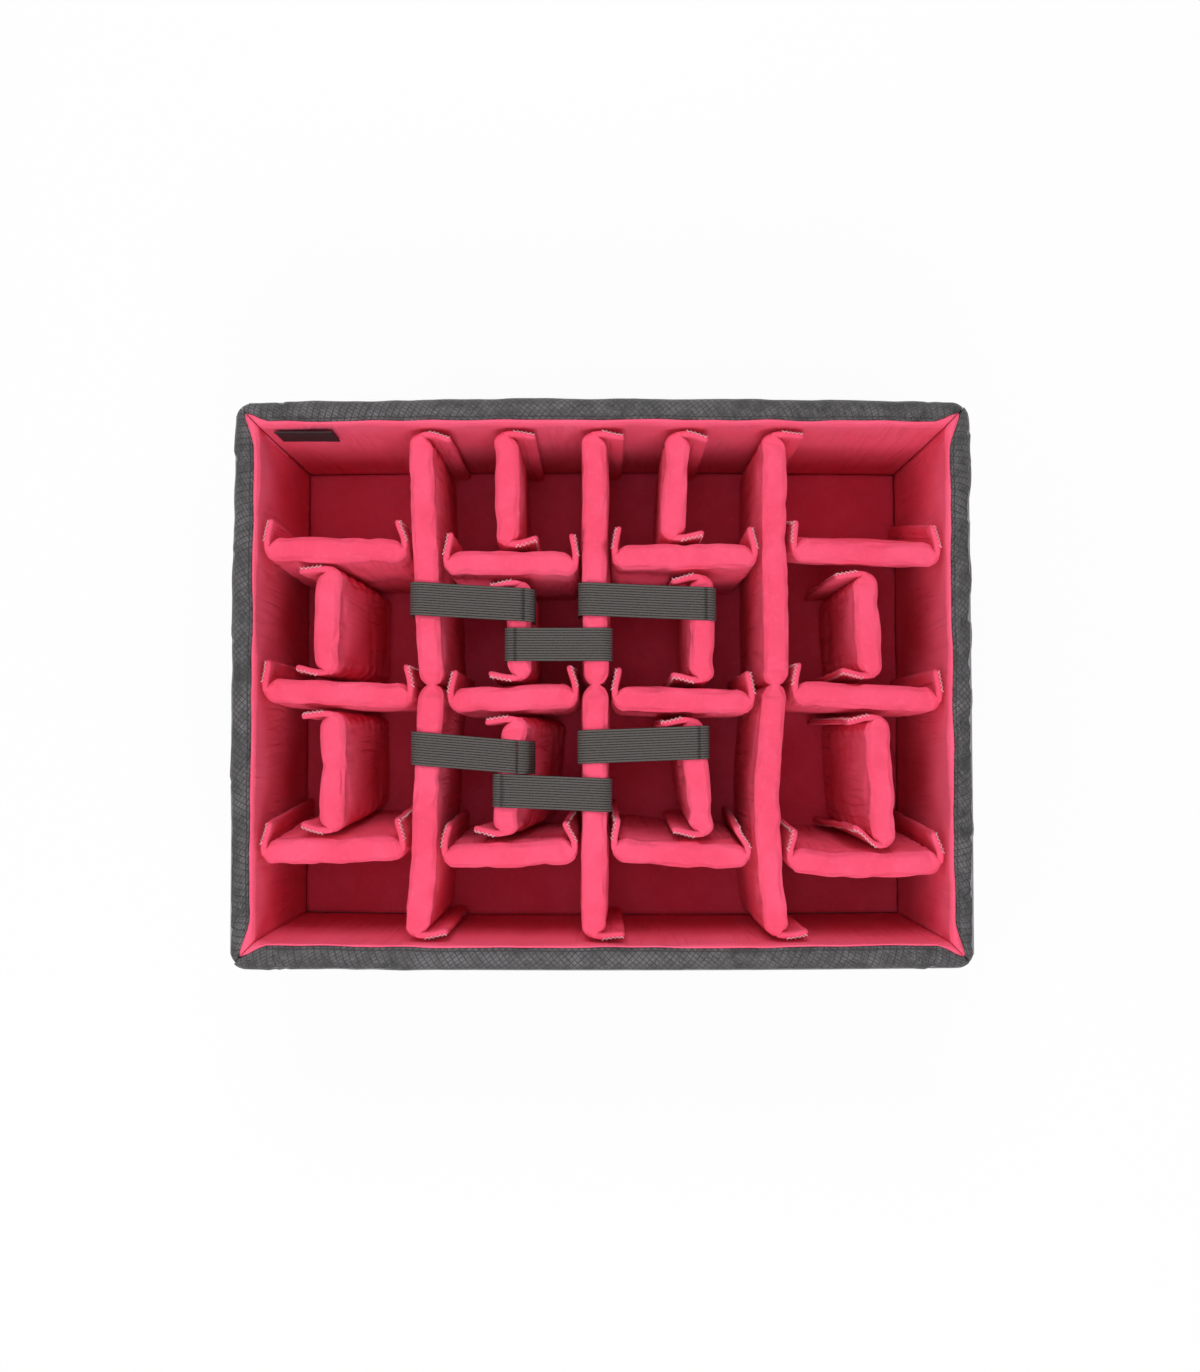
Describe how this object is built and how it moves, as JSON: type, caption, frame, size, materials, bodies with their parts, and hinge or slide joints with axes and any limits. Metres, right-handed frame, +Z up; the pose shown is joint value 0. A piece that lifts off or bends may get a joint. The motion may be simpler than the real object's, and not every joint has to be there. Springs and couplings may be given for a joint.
{
  "type": "padded case divider",
  "caption": "Open soft tray with padded walls, upright padded dividers that grip its lining with end flaps, and elastic straps that brace the dividers.",
  "frame": {"origin": "middle of the underside of the base, on the surface that the tray stands on", "axes": "+X along the long side to the right, +Y to the back wall with the label, +Z up out of the tray"},
  "size_m": [0.554, 0.428, 0.2],
  "materials": {
    "lining": "brushed loop pile over foam",
    "nylon": "coated ripstop weave",
    "webbing": "ribbed knitted elastic",
    "hook_tape": "fine plastic hooks",
    "board": "plain board",
    "label": "bare woven label"
  },
  "bodies": {
    "tray": {"base_cover": "nylon", "floor_padding": "lining", "label": "label", "long_divider_1": "lining", "long_divider_2": "lining", "outer_cover_back": "nylon", "outer_cover_front": "nylon", "outer_cover_left": "nylon", "outer_cover_right": "nylon", "stiffener_back": "board", "stiffener_base": "board", "stiffener_front": "board", "stiffener_left": "board", "stiffener_right": "board", "wall_padding_back": "lining", "wall_padding_front": "lining", "wall_padding_left": "lining", "wall_padding_right": "lining"},
    "long_divider_3": {"long_divider_3": "lining"},
    "row_divider_1_1": {"row_divider_1_1": "lining"},
    "row_divider_1_2": {"row_divider_1_2": "lining"},
    "row_divider_1_3": {"row_divider_1_3": "lining"},
    "row_divider_1_4": {"row_divider_1_4": "lining"},
    "row_divider_2_1": {"row_divider_2_1": "lining"},
    "row_divider_2_2": {"row_divider_2_2": "lining"},
    "row_divider_2_3": {"row_divider_2_3": "lining"},
    "row_divider_2_4": {"row_divider_2_4": "lining"},
    "row_divider_3_1": {"row_divider_3_1": "lining"},
    "row_divider_3_2": {"row_divider_3_2": "lining"},
    "row_divider_3_3": {"row_divider_3_3": "lining"},
    "row_divider_3_4": {"row_divider_3_4": "lining"},
    "short_divider_1_2": {"short_divider_1_2": "lining"},
    "short_divider_1_3": {"short_divider_1_3": "lining"},
    "short_divider_2_1": {"short_divider_2_1": "lining"},
    "short_divider_2_2": {"short_divider_2_2": "lining", "strap_1_anchor": "webbing", "strap_3_anchor": "webbing"},
    "short_divider_2_3": {"short_divider_2_3": "lining", "strap_2_anchor": "webbing"},
    "short_divider_2_4": {"short_divider_2_4": "lining"},
    "short_divider_3_1": {"short_divider_3_1": "lining"},
    "short_divider_3_2": {"short_divider_3_2": "lining", "strap_4_anchor": "webbing", "strap_6_anchor": "webbing"},
    "short_divider_3_3": {"short_divider_3_3": "lining", "strap_5_anchor": "webbing"},
    "short_divider_3_4": {"short_divider_3_4": "lining"},
    "strap_1": {"strap_1_band": "webbing", "strap_1_tab": "hook_tape"},
    "strap_2": {"strap_2_band": "webbing", "strap_2_tab": "hook_tape"},
    "strap_3": {"strap_3_band": "webbing", "strap_3_tab": "hook_tape"},
    "strap_4": {"strap_4_band": "webbing", "strap_4_tab": "hook_tape"},
    "strap_5": {"strap_5_band": "webbing", "strap_5_tab": "hook_tape"},
    "strap_6": {"strap_6_band": "webbing", "strap_6_tab": "hook_tape"}
  },
  "joints": [
    {"name": "long_divider_3_lift", "type": "slide", "parent": "tray", "child": "long_divider_3", "axis": [0, 0, 1], "range_m": [0, 0.2]},
    {"name": "row_divider_1_1_lift", "type": "slide", "parent": "tray", "child": "row_divider_1_1", "axis": [0, 0.0274, 0.9996], "range_m": [0, 0.2]},
    {"name": "row_divider_1_2_lift", "type": "slide", "parent": "tray", "child": "row_divider_1_2", "axis": [0, 0, 1], "range_m": [0, 0.2]},
    {"name": "row_divider_1_3_lift", "type": "slide", "parent": "tray", "child": "row_divider_1_3", "axis": [0, 0, 1], "range_m": [0, 0.2]},
    {"name": "row_divider_1_4_lift", "type": "slide", "parent": "tray", "child": "row_divider_1_4", "axis": [0, 0, 1], "range_m": [0, 0.2]},
    {"name": "row_divider_2_1_lift", "type": "slide", "parent": "tray", "child": "row_divider_2_1", "axis": [0, 0, 1], "range_m": [0, 0.2]},
    {"name": "row_divider_2_2_lift", "type": "slide", "parent": "tray", "child": "row_divider_2_2", "axis": [0, 0, 1], "range_m": [0, 0.2]},
    {"name": "row_divider_2_3_lift", "type": "slide", "parent": "tray", "child": "row_divider_2_3", "axis": [0, 0, 1], "range_m": [0, 0.2]},
    {"name": "row_divider_2_4_lift", "type": "slide", "parent": "tray", "child": "row_divider_2_4", "axis": [0, 0, 1], "range_m": [0, 0.2]},
    {"name": "row_divider_3_1_lift", "type": "slide", "parent": "tray", "child": "row_divider_3_1", "axis": [0, -0.0717, 0.9974], "range_m": [0, 0.2]},
    {"name": "row_divider_3_2_lift", "type": "slide", "parent": "tray", "child": "row_divider_3_2", "axis": [0, -0.0274, 0.9996], "range_m": [0, 0.2]},
    {"name": "row_divider_3_3_lift", "type": "slide", "parent": "tray", "child": "row_divider_3_3", "axis": [0, -0.0506, 0.9987], "range_m": [0, 0.2]},
    {"name": "row_divider_3_4_lift", "type": "slide", "parent": "tray", "child": "row_divider_3_4", "axis": [0, -0.0569, 0.9984], "range_m": [0, 0.2]},
    {"name": "short_divider_1_2_lift", "type": "slide", "parent": "tray", "child": "short_divider_1_2", "axis": [0, 0, 1], "range_m": [0, 0.2]},
    {"name": "short_divider_1_3_lift", "type": "slide", "parent": "tray", "child": "short_divider_1_3", "axis": [0, 0, 1], "range_m": [0, 0.2]},
    {"name": "short_divider_2_1_lift", "type": "slide", "parent": "tray", "child": "short_divider_2_1", "axis": [0, 0, 1], "range_m": [0, 0.2]},
    {"name": "short_divider_2_2_lift", "type": "slide", "parent": "tray", "child": "short_divider_2_2", "axis": [0, 0, 1], "range_m": [0, 0.2]},
    {"name": "short_divider_2_3_lift", "type": "slide", "parent": "tray", "child": "short_divider_2_3", "axis": [0, 0, 1], "range_m": [0, 0.2]},
    {"name": "short_divider_2_4_lift", "type": "slide", "parent": "tray", "child": "short_divider_2_4", "axis": [0, 0, 1], "range_m": [0, 0.2]},
    {"name": "short_divider_3_1_lift", "type": "slide", "parent": "tray", "child": "short_divider_3_1", "axis": [0, 0, 1], "range_m": [0, 0.2]},
    {"name": "short_divider_3_2_lift", "type": "slide", "parent": "tray", "child": "short_divider_3_2", "axis": [0, 0, 1], "range_m": [0, 0.2]},
    {"name": "short_divider_3_3_lift", "type": "slide", "parent": "tray", "child": "short_divider_3_3", "axis": [0, 0, 1], "range_m": [0, 0.2]},
    {"name": "short_divider_3_4_lift", "type": "slide", "parent": "tray", "child": "short_divider_3_4", "axis": [0, 0, 1], "range_m": [0, 0.2]},
    {"name": "strap_1_fold", "type": "hinge", "parent": "short_divider_2_2", "child": "strap_1", "pos_m": [-0.05857, 0.05861, 0.1969], "axis": [0, 1, 0], "range_deg": [0, 135]},
    {"name": "strap_2_fold", "type": "hinge", "parent": "short_divider_2_3", "child": "strap_2", "pos_m": [0.07804, 0.05934, 0.1969], "axis": [0, 1, 0], "range_deg": [0, 135]},
    {"name": "strap_3_fold", "type": "hinge", "parent": "short_divider_2_2", "child": "strap_3", "pos_m": [-0.06537, 0.02888, 0.1969], "axis": [0, -1, 0], "range_deg": [0, 135]},
    {"name": "strap_4_fold", "type": "hinge", "parent": "short_divider_3_2", "child": "strap_4", "pos_m": [-0.06314, -0.05517, 0.1969], "axis": [0, 1, 0], "range_deg": [0, 135]},
    {"name": "strap_5_fold", "type": "hinge", "parent": "short_divider_3_3", "child": "strap_5", "pos_m": [0.07264, -0.04449, 0.1969], "axis": [0, 1, 0], "range_deg": [0, 135]},
    {"name": "strap_6_fold", "type": "hinge", "parent": "short_divider_3_2", "child": "strap_6", "pos_m": [-0.07507, -0.08027, 0.1969], "axis": [0, -1, 0], "range_deg": [0, 135]}
  ]
}
